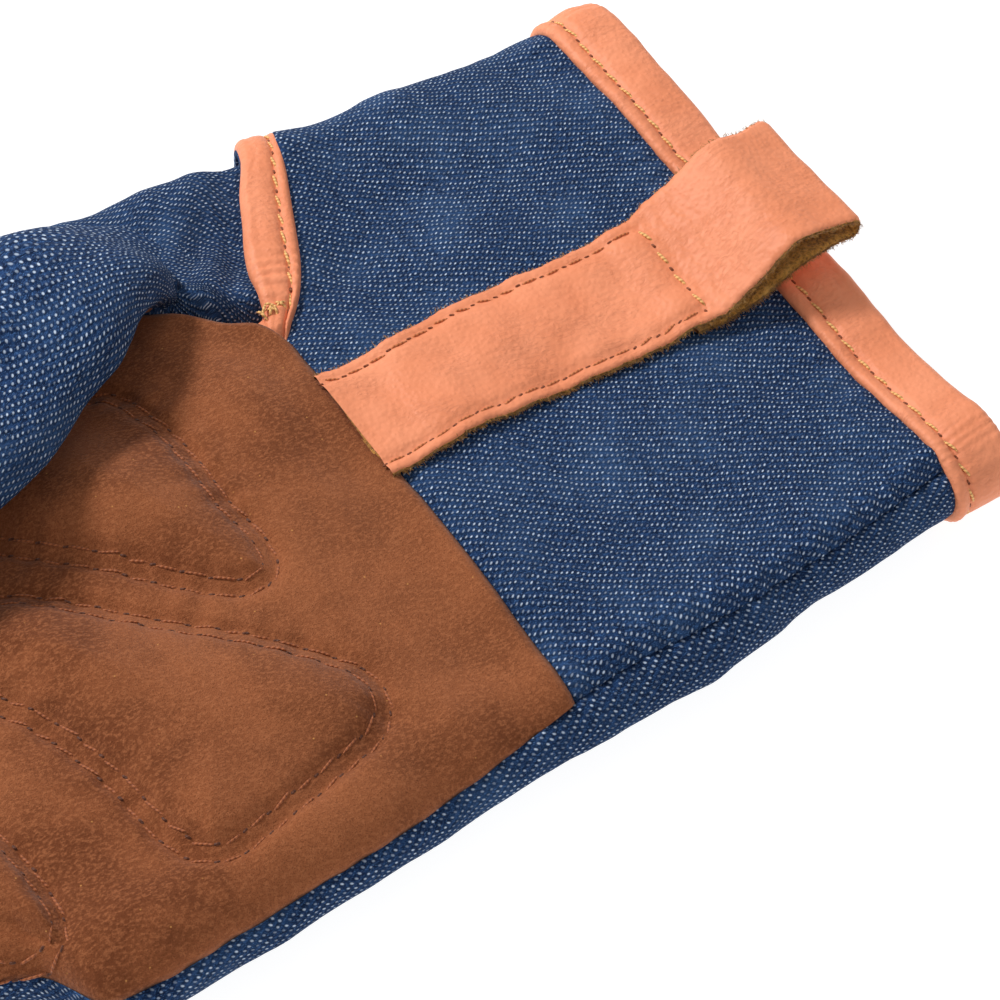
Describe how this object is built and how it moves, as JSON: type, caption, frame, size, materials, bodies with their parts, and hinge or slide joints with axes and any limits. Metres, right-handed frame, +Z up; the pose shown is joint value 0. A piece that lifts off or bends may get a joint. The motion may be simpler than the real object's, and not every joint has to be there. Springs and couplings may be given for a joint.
{
  "type": "gardening glove, right hand, with a hanging loop",
  "caption": "Right-hand gardening glove lying palm up, denim with a padded suede palm, leather-bound opening and wrist slit, and a leather hanging loop",
  "frame": {"origin": "centre of the glove's footprint on the surface that it lies on", "axes": "+X from the fingertips to the opening, +Y to the thumb side, +Z up out of the palm"},
  "size_m": [0.2632, 0.126, 0.0341],
  "materials": {
    "denim": "matte",
    "suede": "matte",
    "leather": "satin"
  },
  "bodies": {
    "root": {"cuff_front": "denim", "palm_panel": "suede", "back_panel": "denim", "fourchette_index_middle": "denim", "fourchette_middle_ring": "denim", "fourchette_ring_little": "denim", "thumb_back": "denim", "thumb_front": "suede", "cuff_binding": "leather", "slit_binding_cuff": "leather", "slit_binding_hand": "leather", "hanging_strap": "leather"}
  },
  "joints": []
}
